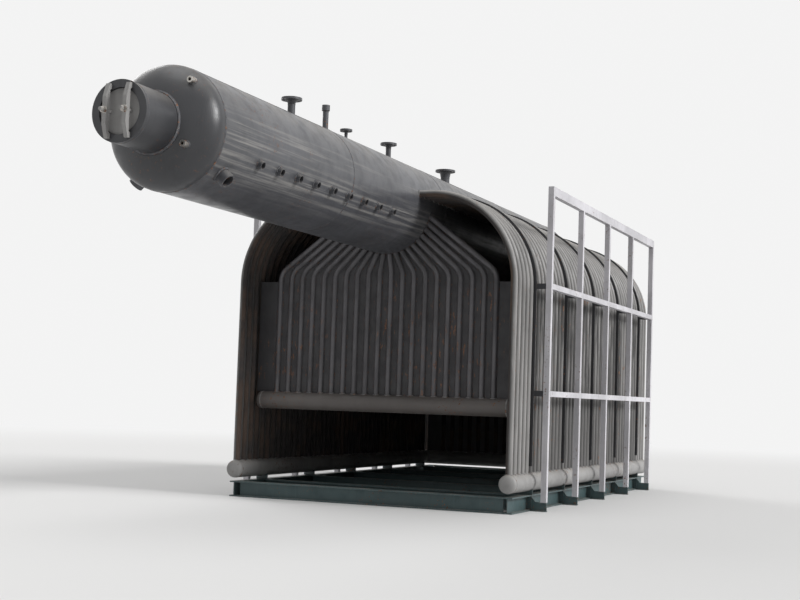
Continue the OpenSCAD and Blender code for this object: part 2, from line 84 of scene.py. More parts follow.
TUBE_R = 0.03
TUBE_PITCH = 0.112
FIN_T = 0.006
wall_low, wall_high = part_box("side_wall_left")
FIRST_TUBE = wall_low.x + TUBE_R
SIDE_TUBES = round((wall_high.x - wall_low.x - 2 * TUBE_R) / TUBE_PITCH) + 1
TUBE_XS = [FIRST_TUBE + i * TUBE_PITCH for i in range(SIDE_TUBES)]
# Roof tubes that meet the drum's shell. The others lie behind it.
SHELL_TUBES = int((DRUM_REAR + TUBE_R - FIRST_TUBE) / TUBE_PITCH) + 1
WALL_Y = wall_high.y - TUBE_R
SHOULDER_Z = wall_high.z
ROOF_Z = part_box("shoulder_left")[1].z - TUBE_R
SHOULDER_R = ROOF_Z - SHOULDER_Z
SHOULDER_Y = WALL_Y - SHOULDER_R
# Where the roof tubes behind the shell end in the solids, just past the drum's flank
CUT_END_Y = math.sqrt(DRUM_R ** 2 - (ROOF_Z - TUBE_R - DRUM_Z) ** 2) + 0.001

END_TUBE_R = 0.0255
END_TUBES_HALF = 10
END_BEND_Z = 2.08
END_BEND_R = 0.15
END_FIN_TOP = 1.995
DRUM_TUBE_PITCH = 0.06
FRONT_WALL_X = middle("front_wall").x
REAR_WALL_X = middle("rear_wall").x

header_low, header_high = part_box("front_header")
HEADER_R = (header_high.z - header_low.z) / 2
FRONT_HEADER_Z = middle("front_header").z
BOTTOM_HEADER_Z = middle("side_header_left").z

post_low, post_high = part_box("frame_posts_left")
POST_W = post_high.y - post_low.y
POST_INNER = post_low.y
POST_TOP = post_high.z
rail_low, rail_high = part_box("frame_rails_left")
RAIL_ZS = (rail_low.z + POST_W / 2, rail_high.z - POST_W / 2)
BAYS = 4
BAY = (post_high.x - post_low.x - POST_W) / BAYS
HOOP_XS = [(i - BAYS / 2) * BAY for i in range(BAYS + 1)]
HOOP_T = 0.012
hoop_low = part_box("hoops_left")[0]

beam_low, beam_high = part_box("base_beams")
BEAM_H = beam_high.z
BEAM_W = 0.09
BEAM_FLANGE = 0.012
BEAM_INNER = WALL_Y - BEAM_W / 2
BEAM_OUTER = WALL_Y + BEAM_W / 2


# Materials: graphs of nodes that read only a surface's own place, normal, corners and bead length

class Graph:
    """A material under construction. Each call adds nodes and returns their output."""

    def __init__(self, name):
        self.material = bpy.data.materials.new(name)
        self.material.use_nodes = True
        self.tree = self.material.node_tree
        self.tree.nodes.clear()
        self.shader = self.tree.nodes.new("ShaderNodeBsdfPrincipled")
        output = self.tree.nodes.new("ShaderNodeOutputMaterial")
        self.tree.links.new(self.shader.outputs["BSDF"], output.inputs["Surface"])
        coordinates = self.tree.nodes.new("ShaderNodeTexCoord")
        self.place = coordinates.outputs["Object"]
        self.along = coordinates.outputs["UV"]
        self.x, self.y, self.z = self.split(self.place)
        geometry = self.tree.nodes.new("ShaderNodeNewGeometry")
        self.normal = geometry.outputs["Normal"]
        self.up = self.split(self.normal)[2]

    def plug(self, socket, value):
        if isinstance(value, bpy.types.NodeSocket):
            self.tree.links.new(value, socket)
        else:
            socket.default_value = value

    def split(self, vector):
        node = self.tree.nodes.new("ShaderNodeSeparateXYZ")
        self.plug(node.inputs[0], vector)
        return node.outputs

    def join(self, x, y, z):
        node = self.tree.nodes.new("ShaderNodeCombineXYZ")
        for socket, value in zip(node.inputs, (x, y, z)):
            self.plug(socket, value)
        return node.outputs[0]

    def math(self, operation, *values, clamp=False):
        node = self.tree.nodes.new("ShaderNodeMath")
        node.operation = operation
        node.use_clamp = clamp
        for socket, value in zip(node.inputs, values):
            self.plug(socket, value)
        return node.outputs[0]

    def times(self, product, *others):
        """The product of the values, kept from 0 to 1."""
        for value in others:
            product = self.math("MULTIPLY", product, value, clamp=True)
        return product

    def vector(self, operation, a, b=(0.0, 0.0, 0.0)):
        node = self.tree.nodes.new("ShaderNodeVectorMath")
        node.operation = operation
        self.plug(node.inputs[0], a)
        self.plug(node.inputs[1], b)
        return node.outputs["Value" if operation in ("LENGTH", "DOT_PRODUCT") else "Vector"]

    def ramp(self, value, low, high, top=1.0):
        """Rises smoothly from 0 to top while value goes from low to high."""
        node = self.tree.nodes.new("ShaderNodeMapRange")
        node.interpolation_type = "SMOOTHSTEP"
        self.plug(node.inputs["Value"], value)
        self.plug(node.inputs["From Min"], low)
        self.plug(node.inputs["From Max"], high)
        self.plug(node.inputs["To Min"], 0.0)
        self.plug(node.inputs["To Max"], top)
        return node.outputs[0]

    def mix(self, factor, a, b):
        """Colour a where the factor is 0, colour b where it is 1."""
        node = self.tree.nodes.new("ShaderNodeMix")
        node.data_type = "RGBA"
        self.plug(node.inputs["Factor"], factor)
        # A Mix node's colours are its sockets 6 and 7, and its colour output is the third
        for socket, colour in ((node.inputs[6], a), (node.inputs[7], b)):
            plain = not isinstance(colour, bpy.types.NodeSocket)
            self.plug(socket, (*colour, 1.0) if plain else colour)
        return node.outputs[2]

    def noise(self, scale, detail=3.0, stretch=(1.0, 1.0, 1.0), shift=0.0, rough=0.55):
        """Noise, mostly 0.3 to 0.7, with scale times stretch cycles to the metre on each axis."""
        place = self.vector("MULTIPLY", self.place, stretch)
        if shift:
            place = self.vector("ADD", place, (shift, shift * 1.7, shift * 0.6))
        node = self.tree.nodes.new("ShaderNodeTexNoise")
        self.plug(node.inputs["Vector"], place)
        self.plug(node.inputs["Scale"], scale)
        self.plug(node.inputs["Detail"], detail)
        self.plug(node.inputs["Roughness"], rough)
        return node.outputs[0]

    def crevice(self, distance):
        """1 in corners and gaps, 0 on open faces."""
        node = self.tree.nodes.new("ShaderNodeAmbientOcclusion")
        node.samples = 6
        self.plug(node.inputs["Distance"], distance)
        return self.math("SUBTRACT", 1.0, node.outputs["AO"])

    def rounded(self, radius, samples=6):
        """A normal that turns smoothly over the sharp edges."""
        node = self.tree.nodes.new("ShaderNodeBevel")
        node.samples = samples
        self.plug(node.inputs["Radius"], radius)
        return node.outputs[0]

    def edge(self, radius):
        """1 on sharp edges, 0 on flat and gently curved faces."""
        same = self.vector("DOT_PRODUCT", self.rounded(radius, samples=4), self.normal)
        return self.ramp(same, 0.985, 0.9)

    def bump(self, height, distance, strength, below=None):
        node = self.tree.nodes.new("ShaderNodeBump")
        self.plug(node.inputs["Height"], height)
        self.plug(node.inputs["Distance"], distance)
        self.plug(node.inputs["Strength"], strength)
        if below is not None:
            self.plug(node.inputs["Normal"], below)
        return node.outputs[0]

    def finish(self, colour, roughness, normal, metallic=0.0, coat=0.0):
        self.plug(self.shader.inputs["Base Color"], colour)
        self.plug(self.shader.inputs["Roughness"], roughness)
        self.plug(self.shader.inputs["Normal"], normal)
        self.plug(self.shader.inputs["Metallic"], metallic)
        self.plug(self.shader.inputs["Coat Weight"], coat)
        self.plug(self.shader.inputs["Coat Roughness"], 0.25)
        return self.material


RUST_DARK = (0.075, 0.028, 0.014)
RUST_LIGHT = (0.27, 0.115, 0.045)
DUST = (0.36, 0.33, 0.29)
# Colour of the painted shade in corners and gaps
CORNER_SHADE = (0.035, 0.032, 0.03)
# Pale colour of the painted reflection lines along the drum
REFLECTION_PALE = (0.3, 0.29, 0.275)
# Colour of the painted shade on the front header
PAINTED_SHADE = (0.06, 0.048, 0.042)
SCALE_DARK = (0.045, 0.04, 0.039)
SCALE_LIGHT = (0.085, 0.06, 0.047)


def shade(colour, factor):
    return tuple(c * factor for c in colour)


def rust_colour(g):
    return g.mix(g.ramp(g.noise(60, 5), 0.38, 0.62), RUST_DARK, RUST_LIGHT)


def dust_on_top(g, scale, amount):
    """Patches of dust on the faces that look up."""
    patches = g.ramp(g.noise(scale, 5, shift=2.2), 0.3, 0.66, amount)
    return g.times(g.ramp(g.up, 0.25, 0.95), patches)


def painted_reflections(g, strength):
    """Painted reflections: pale lines along X, in bands on the flanks."""
    bands = g.ramp(g.noise(1.0, 3, stretch=(0.45, 4.5, 4.5), shift=4.0), 0.36, 0.56)
    lines = g.ramp(g.noise(1.0, 5, stretch=(0.9, 40, 40), shift=6.0, rough=0.65), 0.44, 0.66)
    return g.times(bands, lines, g.ramp(g.up, 0.5, 0.1), g.ramp(g.up, -0.95, -0.4), strength)


def paint(name, base, gloss, streak, spots, dust, worn=None, edge_wear=0.0, occlusion_shade=0.5, coat=0.0,
          waves=0.0048, corner=0.0, reflection_strength=0.0, dark_from=None):
    """Shop paint on steel: mottled, streaked, dusty on top, with painted shade in corners and rust
    in spots.

    gloss is the lowest roughness and streak the scale of the run marks along X, Y and Z. worn is
    the colour where edges are chipped, waves the height of the plate's waves, corner the radius
    that the edges seem to have, scuffs the strength of the painted reflection lines along X, and
    dark_from a height above which the paint is darkened with painted shade.
    """
    g = Graph(name)
    patches = g.noise(1.4, 4, shift=3.1)
    cloud = g.noise(9, 5, shift=1.3)
    colour = g.mix(g.ramp(patches, 0.34, 0.66), shade(base, 0.84), shade(base, 1.14))
    colour = g.mix(g.ramp(cloud, 0.5, 0.72, 0.35), colour, shade(base, 0.72))
    runs = g.noise(1.0, 4, stretch=streak, shift=5.0)
    colour = g.mix(g.ramp(runs, 0.55, 0.75, 0.35), colour, shade(base, 0.6))
    pale_runs = g.noise(1.0, 3, stretch=shade(streak, 1.6), shift=9.0)
    colour = g.mix(g.ramp(pale_runs, 0.6, 0.78, 0.3), colour, shade(base, 1.5))
    reflection_lines = 0.0
    # Painted reflections: pale lines along X on the drum's flanks
    if reflection_strength:
        reflection_lines = painted_reflections(g, reflection_strength)
        colour = g.mix(reflection_lines, colour, REFLECTION_PALE)

    dusty = dust_on_top(g, 5, dust)
    colour = g.mix(dusty, colour, DUST)
    # Painted shade: darker in corners and gaps, from ambient occlusion
    corners = g.ramp(g.crevice(0.1), 0.3, 0.85, occlusion_shade)
    colour = g.mix(corners, colour, CORNER_SHADE)
    # Painted shade: darker above a height, for the front header in the shaded front
    if dark_from:
        colour = g.mix(g.ramp(g.z, dark_from, dark_from + 0.05, 0.8), colour, PAINTED_SHADE)

    where = g.ramp(g.noise(1.9, 3, shift=7.7), 0.5, 0.64)
    specks = g.ramp(g.noise(45, 6, shift=4.4), 0.615 - 0.02 * spots, 0.655)
    rusty = g.times(specks, where, spots)
    if edge_wear:
        chipped = g.ramp(g.noise(38, 5, shift=6.1), 0.44, 0.56, edge_wear)
        bare = g.times(g.edge(0.004), chipped)
        colour = g.mix(bare, colour, worn)
        rusty = g.math("MAXIMUM", rusty, g.times(bare, g.ramp(cloud, 0.5, 0.62, 0.8)))
    colour = g.mix(rusty, colour, rust_colour(g))

    rough = g.math("ADD", gloss, g.ramp(cloud, 0.35, 0.7, 0.16))
    for cover, rougher in ((dusty, 0.5), (reflection_lines, 0.25), (rusty, 0.35)):
        rough = g.math("MULTIPLY_ADD", cover, rougher, rough, clamp=True)

    smooth = g.rounded(corner) if corner else None
    peel = g.bump(g.noise(420, 2, shift=1.0), 0.00025, 0.5, smooth)
    wavy = g.bump(g.noise(4.5, 2, shift=8.0), waves, 0.5, peel)
    flaky = g.bump(rusty, 0.0005, 0.6, wavy)
    return g.finish(colour, rough, flaky, coat=coat)


def depth_of_side_wall(g):
    """How far a point lies outside the side wall's and shoulder's tube centre lines."""
    across = g.math("MAXIMUM", g.math("SUBTRACT", g.math("ABSOLUTE", g.y), SHOULDER_Y), 0.0)
    up = g.math("MAXIMUM", g.math("SUBTRACT", g.z, SHOULDER_Z), 0.0)
    return g.math("SUBTRACT", g.vector("LENGTH", g.join(across, up, 0.0)), SHOULDER_R)


def depth_of_front_wall(g):
    return g.math("SUBTRACT", FRONT_WALL_X, g.x)


def depth_of_rear_wall(g):
    return g.math("SUBTRACT", g.x, REAR_WALL_X)


def behind_frames(g):
    """1 on the wall behind the side frames, 0 past their ends."""
    return g.ramp(g.math("ABSOLUTE", g.x), HOOP_XS[-1] + 0.05, HOOP_XS[-1] - 0.05)


def hanging_strokes(g, low, high):
    """Dark strokes that hang down in a band between two heights, and fainter ones below it."""
    wide = g.ramp(g.noise(1.0, 3, stretch=(3.5, 3.5, 0.7), shift=11.0), 0.34, 0.52)
    strokes = g.ramp(g.noise(1.0, 5, stretch=(13.0, 13.0, 1.2), shift=13.0, rough=0.6), 0.38, 0.5)
    hang = g.ramp(g.noise(1.0, 3, stretch=(16.0, 16.0, 0.5), shift=12.0), 0.3, 0.7, high - low)
    from_below = g.ramp(g.math("SUBTRACT", g.z, hang), low - 0.6, low + 0.1)
    band = g.times(from_below, g.ramp(g.z, high + 0.02, high - 0.06))
    faint = g.times(g.ramp(g.z, high, low, 0.3), wide)
    dark = g.math("ADD", g.times(band, wide), faint, clamp=True)
    reach = g.math("MULTIPLY_ADD", behind_frames(g), 0.75, 0.25)
    return g.times(strokes, dark, reach)


def shade_and_dirt_film(g, low, high):
    """Painted shade and dirt: a darker film on the wall behind the side frames, thicker below the
    lower rail.
    """
    under = g.ramp(g.z, high + 0.35, high - 0.05, 0.25)
    thick = g.ramp(g.z, low + 0.2, low - 0.2, 0.3)
    return g.times(behind_frames(g), g.math("ADD", under, thick))


def tube_paint(name, base, depth_of, radius, streak, crest_gain, stroke_strength=0.0):
    """Paint on a finned tube wall: worn and paler on the crests with a painted highlight, darker by
    the fins with painted shade, rusty inside.

    depth_of gives how far out a point lies, radius is the tubes', streak the scale of the run
    marks along X, Y and Z, crest_gain how much paler the worn crests with their painted highlight
    are, and smeared how strong the dark strokes between the rails are.
    """
    g = Graph(name)
    depth = depth_of(g)
    patches = g.noise(1.1, 4, shift=3.1)
    cloud = g.noise(11, 5, shift=1.3)
    colour = g.mix(g.ramp(patches, 0.34, 0.66), shade(base, 0.78), shade(base, 1.16))
    runs = g.noise(1.0, 4, stretch=streak, shift=5.0)
    colour = g.mix(g.ramp(runs, 0.5, 0.72, 0.5), colour, shade(base, 0.5))
    pale_runs = g.noise(1.0, 3, stretch=shade(streak, 1.7), shift=9.0)
    colour = g.mix(g.ramp(pale_runs, 0.56, 0.74, 0.45), colour, shade(base, 1.7))

    # Wear and painted highlight: paler on the crests
    crest = g.ramp(depth, radius * 0.55, radius)
    crest_wear_and_highlight = g.times(crest, g.ramp(g.noise(7, 5, stretch=(3, 1, 0.4)), 0.34, 0.62, 0.8))
    colour = g.mix(crest_wear_and_highlight, colour, shade(base, crest_gain))
    # Painted shade: darker in the valleys by the fins
    valley = g.ramp(depth, radius * 0.45, FIN_T * 0.4)
    colour = g.mix(g.times(valley, 0.7), colour, shade(base, 0.25))
    # Painted shade and dirt as a film behind the side frames, then dark strokes hanging between the
    # rails
    if stroke_strength:
        colour = g.mix(shade_and_dirt_film(g, *RAIL_ZS), colour, shade(base, 0.25))
        colour = g.mix(g.times(hanging_strokes(g, *RAIL_ZS), stroke_strength), colour, shade(base, 0.17))
    colour = g.mix(dust_on_top(g, 4, 0.35), colour, DUST)

    where = g.ramp(g.noise(1.6, 3, stretch=(1, 1, 0.5), shift=7.7), 0.5, 0.62)
    specks = g.ramp(g.noise(36, 6, stretch=(1, 1, 0.35), shift=4.4), 0.6, 0.65)
    rusty = g.times(specks, where, 0.6)
    colour = g.mix(rusty, colour, rust_colour(g))
    inside = g.ramp(depth, -0.002, -0.006)
    scale = g.mix(g.ramp(g.noise(3, 5, shift=6.0), 0.42, 0.64), SCALE_DARK, SCALE_LIGHT)
    colour = g.mix(inside, colour, scale)

    rough = g.math("ADD", 0.42, g.ramp(cloud, 0.35, 0.7, 0.18))
    for cover, rougher in ((valley, 0.15), (inside, 0.3)):
        rough = g.math("MULTIPLY_ADD", cover, rougher, rough, clamp=True)
    peel = g.bump(g.noise(300, 2, shift=1.0), 0.0003, 0.5)
    pitted = g.bump(g.noise(28, 5, shift=2.0), 0.0009, 0.35, peel)
    flaky = g.bump(rusty, 0.0006, 0.6, pitted)
    return g.finish(colour, rough, flaky)


def bare_steel(name, base, gloss, spots):
    """Turned steel that has begun to rust."""
    g = Graph(name)
    cloud = g.noise(30, 5, shift=1.3)
    colour = g.mix(g.ramp(cloud, 0.35, 0.65), shade(base, 0.8), shade(base, 1.1))
    rusty = g.ramp(g.noise(55, 6, shift=4.4), 0.56 - 0.05 * spots, 0.66, 0.9)
    colour = g.mix(rusty, colour, rust_colour(g))
    metallic = g.math("MULTIPLY_ADD", rusty, -0.8, 0.9)
    rough = g.math("MULTIPLY_ADD", rusty, 0.4, gloss, clamp=True)
    grooves = g.bump(g.noise(900, 2, stretch=(1, 0.1, 0.1)), 0.00006, 0.5)
    flaky = g.bump(rusty, 0.0003, 0.5, grooves)
    return g.finish(colour, rough, flaky, metallic)


def weld_metal(name, base, ripple=0.004, rust=0.5):
    """Painted-over weld: ripples across the bead, darker toes, rust where the paint is thin."""
    g = Graph(name)
    u, v, _ = g.split(g.along)
    wave = g.math("SINE", g.math("MULTIPLY", u, 2 * math.pi / ripple))
    cloud = g.noise(24, 4, shift=1.3)
    colour = g.mix(g.ramp(cloud, 0.36, 0.64), shade(base, 0.7), shade(base, 1.25))
    toe = g.ramp(g.math("ABSOLUTE", g.math("SUBTRACT", v, 0.5)), 0.28, 0.5, 0.6)
    colour = g.mix(toe, colour, shade(base, 0.4))
    rusty = g.ramp(g.noise(34, 6, shift=4.4), 0.6 - 0.12 * rust, 0.68, 0.85)
    colour = g.mix(rusty, colour, rust_colour(g))
    rough = g.math("MULTIPLY_ADD", rusty, 0.35, 0.42, clamp=True)
    rippled = g.bump(wave, 0.0006, 0.6)
    grainy = g.bump(g.noise(300, 3), 0.0003, 0.4, rippled)
    return g.finish(colour, rough, grainy)


DRUM_GREY = (0.07, 0.072, 0.08)
TUBE_GREY = (0.215, 0.21, 0.205)
# Painted shade: the front wall's tube paint is darker than the side walls' for the shade on it
SHADED_FRONT_GREY = (0.067, 0.065, 0.07)
PIPE_GREY = (0.3, 0.295, 0.29)
FRAME_GREY = (0.62, 0.61, 0.64)
BASE_GREEN = (0.06, 0.1, 0.105)
STEEL = (0.5, 0.48, 0.45)

# Scales of the run marks along X, Y and Z: round the drum or over a shoulder, and straight down
ROUND_DRUM = (26.0, 1.6, 1.6)
DOWN = (22.0, 22.0, 1.3)

# The shell carries painted reflections: pale lines along X on its flanks
shell_paint = paint("shell_paint", DRUM_GREY, 0.3, ROUND_DRUM, spots=0.5, dust=0.3, coat=0.1,
                    reflection_strength=0.75)
# Painted shade: the heads and manhole neck are a darker copy of the drum's paint, for faces turned
# away from the light
shaded_head_paint = paint("shaded_head_paint", shade(DRUM_GREY, 0.56), 0.3, DOWN, spots=0.4, dust=0.3, coat=0.08)
fitting_paint = paint("fitting_paint", DRUM_GREY, 0.36, DOWN, spots=0.9, dust=0.4,
                      worn=shade(STEEL, 0.6), edge_wear=0.7)
side_tubes = tube_paint("side_tube_paint", TUBE_GREY, depth_of_side_wall, TUBE_R, ROUND_DRUM,
                        crest_gain=1.55, stroke_strength=0.95)
# Painted shade on the front wall, with strong painted highlights on the tube crests
shaded_front_tubes = tube_paint("shaded_front_tube_paint", SHADED_FRONT_GREY, depth_of_front_wall, END_TUBE_R, DOWN,
                         crest_gain=1.9)
rear_tubes = tube_paint("rear_tube_paint", TUBE_GREY, depth_of_rear_wall, END_TUBE_R, DOWN,
                        crest_gain=1.4)
pipe_paint = paint("pipe_paint", PIPE_GREY, 0.42, DOWN, spots=1.0, dust=0.3,
                   worn=shade(STEEL, 0.8), edge_wear=0.6)
# dark_from paints shade on the front header, above 0.5 m
header_paint = paint("header_paint", PIPE_GREY, 0.42, ROUND_DRUM, spots=1.1, dust=0.4,
                     dark_from=0.5)
frame_paint = paint("frame_paint", FRAME_GREY, 0.45, DOWN, spots=0.9, dust=0.2, worn=RUST_DARK,
                    edge_wear=0.4, occlusion_shade=0.35, waves=0.0016, corner=0.006)
base_paint = paint("base_paint", BASE_GREEN, 0.38, DOWN, spots=1.1, dust=0.45,
                   worn=shade(STEEL, 0.5), edge_wear=0.8, corner=0.003)
hoop_paint = paint("hoop_paint", shade(DRUM_GREY, 0.7), 0.4, DOWN, spots=0.8, dust=0.3,
                   worn=shade(STEEL, 0.5), edge_wear=0.6, corner=0.002)
turned_steel = bare_steel("turned_steel", STEEL, gloss=0.3, spots=0.5)
drum_weld = weld_metal("drum_weld", shade(DRUM_GREY, 0.95), rust=0.6)
tube_weld = weld_metal("tube_weld", shade(TUBE_GREY, 0.7), ripple=0.003)
# Front wall welds in the darker grey of the painted shade
shaded_front_weld = weld_metal("shaded_front_weld", shade(SHADED_FRONT_GREY, 0.8), ripple=0.003, rust=0.6)
pipe_weld = weld_metal("pipe_weld", shade(PIPE_GREY, 0.8), rust=0.8)
frame_weld = weld_metal("frame_weld", shade(FRAME_GREY, 0.75), ripple=0.003, rust=0.9)
base_weld = weld_metal("base_weld", shade(BASE_GREEN, 0.9), rust=0.7)

FINISHES = {
    shell_paint: ["drum_shell"],
    shaded_head_paint: ["drum_front_head", "drum_rear_head", "manhole_neck"],
    fitting_paint: [
        "top_nozzle_1", "top_nozzle_2", "top_nozzle_3", "top_nozzle_4", "main_steam_nozzle",
        "side_nozzles", "riser_stubs",
    ],
    side_tubes: ["side_wall_left", "side_wall_right", "shoulder_left", "shoulder_right"],
    shaded_front_tubes: ["front_wall"],
    rear_tubes: ["rear_wall"],
    pipe_paint: ["manhole_cover", "manhole_yokes"],
    header_paint: [
        "side_header_left", "side_header_right", "front_header", "rear_header", "header_caps",
    ],
    frame_paint: [
        "frame_posts_left", "frame_posts_right", "frame_rails_left", "frame_rails_right",
        "top_rail_left", "top_rail_right",
    ],
    base_paint: ["base_beams", "cross_beams", "outriggers", "saddles"],
    hoop_paint: ["hoops_left", "hoops_right", "brackets_left", "brackets_right"],
    turned_steel: ["manhole_nuts", "gauge_sockets"],
}
for material, names in FINISHES.items():
    for name in names:
        for slot in nodes[name].material_slots:
            slot.material = material


# Weld beads: closed strips swept along a path, gathered into one mesh for each kind of seam

# How deep a bead's root lies in the solids, and how far a skin lies off them
SINK = 0.0006
SKIN = 0.0003
# How unevenly beads are laid, as shares of their size
EVEN, PLAIN, UNEVEN = 0.1, 0.12, 0.15
# Across a fillet: along the first surface, then along the second, as shares of the leg
FILLET = np.array([(0.0, 1.0), (0.34, 0.7), (0.55, 0.55), (0.7, 0.34), (1.0, 0.0)])
# Across a butt weld: sideways from -1 to 1, and up from 0 to 1
BUTT = np.array([
    (-1.0, 0.0), (-0.75, 0.5), (-0.4, 0.87), (0.0, 1.0), (0.4, 0.87), (0.75, 0.5), (1.0, 0.0),
])


def unit(v):
    return v / np.linalg.norm(v, axis=-1, keepdims=True)


class Welds:
    """Collects beads, then makes them one piece."""

    def __init__(self):
        self.points = []
        self.faces = []
        self.uvs = []
        self.count = 0

    def sweep(self, rings, path, closed, sunk):
        """Adds a bead: rings are rows of points across it, and sunk is each ring's hidden root."""
        loops = np.concatenate([rings, sunk[:, None, :]], axis=1)
        self.points.append(loops.reshape(-1, 3))
        n, m = loops.shape[:2]
        step = np.linalg.norm(np.diff(path, axis=0), axis=1)
        run = np.concatenate([[0.0], np.cumsum(step)])
        if closed:
            run = np.append(run, run[-1] + np.linalg.norm(path[0] - path[-1]))
        across = np.append(np.linspace(0, 1, m - 1), 0.5)
        for i in range(n if closed else n - 1):
            a = self.count + i * m
            b = self.count + (i + 1) % n * m
            u0, u1 = run[i], run[i + 1]
            for j in range(m):
                k = (j + 1) % m
                v0, v1 = across[j], across[k]
                self.faces.append((a + j, a + k, b + k, b + j))
                self.uvs.append(((u0, v0), (u0, v1), (u1, v1), (u1, v0)))
        if not closed:
            self.cap_ends(n, m, run)
        self.count += n * m

    def cap_ends(self, n, m, run):
        """Closes the ends of a bead of n loops with m points each."""
        first = range(self.count, self.count + m)
        last = range(self.count + (n - 1) * m, self.count + n * m)
        for cap, u in ((first[::-1], run[0]), (last, run[-1])):
            self.faces.append(tuple(cap))
            self.uvs.append(((u, 0.5),) * m)

    def fillet(self, path, up, out, leg, closed=False, ripple=0.0):
        """A fillet in the corner along path: up runs on one surface, out on the other."""
        up = np.broadcast_to(up, path.shape)
        out = np.broadcast_to(out, path.shape)
        size = leg * (1 + ripple * random.uniform(-1, 1, len(path)))[:, None, None]
        rings = path[:, None] + size * (FILLET[:, :1] * up[:, None] + FILLET[:, 1:] * out[:, None])
        self.sweep(rings, path, closed, path - SINK * (up + out))

    def butt(self, path, up, side, half, height, closed=False, ripple=0.0):
        """A raised bead on a flush joint: up leaves the surface, side runs across the joint."""
        up = np.broadcast_to(up, path.shape)
        side = np.broadcast_to(side, path.shape)
        size = (1 + ripple * random.uniform(-1, 1, len(path)))[:, None, None]
        sideways = half * BUTT[:, :1] * side[:, None]
        rings = path[:, None] + size * (sideways + height * BUTT[:, 1:] * up[:, None])
        rings[:, 0] -= SINK * up
        rings[:, -1] -= SINK * up
        self.sweep(rings, path, closed, path - 2 * SINK * up)

    def make(self, name, slot, material):
        mesh = bpy.data.meshes.new(name)
        mesh.from_pydata(np.concatenate(self.points).tolist(), [], self.faces)
        layer = mesh.uv_layers.new(name="along")
        corners = [corner for face in self.uvs for corner in face]
        layer.data.foreach_set("uv", np.array(corners, np.float32).ravel())
        mesh.polygons.foreach_set("use_smooth", [True] * len(mesh.polygons))
        finish_piece(name, mesh, material)


def finish_piece(name, mesh, material):
    """Makes a mesh a piece of the boiler, facing outward, in its material."""
    mesh.validate()
    mesh.update()
    piece = bpy.data.objects.new(name, mesh)
    bpy.context.scene.collection.objects.link(piece)
    mesh.materials.append(material)
    bpy.context.view_layer.objects.active = piece
    piece.select_set(True)
    bpy.ops.object.mode_set(mode="EDIT")
    bpy.ops.mesh.select_all(action="SELECT")
    bpy.ops.mesh.normals_make_consistent(inside=False)
    bpy.ops.object.mode_set(mode="OBJECT")
    piece.select_set(False)
    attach(piece, "root")


def turn(n):
    """n angles round a full circle."""
    return np.linspace(0.0, 2 * math.pi, n, endpoint=False)


def arc(n, end):
    """n angles from 0 to end, both included."""
    return np.linspace(0.0, end, n)


def spin(angles, e1, e2):
    """Unit vectors at these angles from e1 towards e2."""
    t = angles[:, None]
    return np.cos(t) * e1 + np.sin(t) * e2


def ring(centre, radius, e1, e2, n):
    """Points and outward normals of a circle."""
    outward = spin(turn(n), e1, e2)
    return centre + radius * outward, outward


def flatten(v, normal):
    """The way of v along a surface that has this normal."""
    return unit(v - (v * normal).sum(1, keepdims=True) * normal)


def joint_fillet(welds, centre, axis, big_r, point, d, pipe_r, leg, n):
    """Adds the fillet round a pipe on a big cylinder whose axis runs through centre.

    d is the pipe's direction outward and point lies on the pipe's axis.
    """
    e1 = unit(axis - axis.dot(d) * d)
    pipe_normal = spin(turn(n), e1, np.cross(d, e1))
    start = point - centre + pipe_r * pipe_normal
    across = start - np.outer(start @ axis, axis)
    way = d - axis.dot(d) * axis
    b = across @ way / way.dot(way)
    c = ((across ** 2).sum(1) - big_r ** 2) / way.dot(way)
    path = start + (np.sqrt(b ** 2 - c) - b)[:, None] * d
    big_normal = unit(path - np.outer(path @ axis, axis))
    off = flatten(pipe_normal, big_normal)
    welds.fillet(path + centre, d, off, leg, closed=True, ripple=PLAIN)


def drum_fillet(welds, point, d, pipe_r, leg, n):
    """Adds the fillet round a pipe that leaves the drum's shell through point, towards d."""
    joint_fillet(welds, DRUM_AXIS, X, DRUM_R, point, d, pipe_r, leg, n)


def header_fillet(welds, foot, axis, pipe_r, n):
    """Adds the fillet round a tube that stands on a header. foot lies on the header's axis."""
    joint_fillet(welds, foot, axis, HEADER_R, foot, Z, pipe_r, leg=0.006, n=n)


def head_x(radius):
    """Outer face of the front head at a distance from the drum's axis."""
    return DRUM_FRONT - HEAD_DEPTH * np.sqrt(np.maximum(1 - (radius / DRUM_R) ** 2, 0))


def drum_seams():
    """Ring seams between the shell's courses and at the heads, and a seam along each course."""
    welds = Welds()
    bead = {"half": 0.011, "height": 0.0022, "ripple": 0.16}
    step = 0.004
    tilts = (62, 118, 62, 118)
    edges = np.linspace(shell_low.x, shell_high.x, len(tilts) + 1)
    for x in edges:
        path, up = ring(x * X + DRUM_AXIS, DRUM_R, Y, Z, 900)
        welds.butt(path, up, X, closed=True, **bead)
    for i, tilt in enumerate(tilts):
        a = math.radians(tilt)
        up = math.sin(a) * Z - math.cos(a) * Y
        side = math.cos(a) * Z + math.sin(a) * Y
        xs = np.arange(edges[i] + bead["half"], edges[i + 1] - bead["half"], step)
        path = np.outer(xs, X) + DRUM_AXIS + DRUM_R * up
        welds.butt(path, up, side, **bead)
    welds.make("drum_seam_welds", "drum_paint", drum_weld)


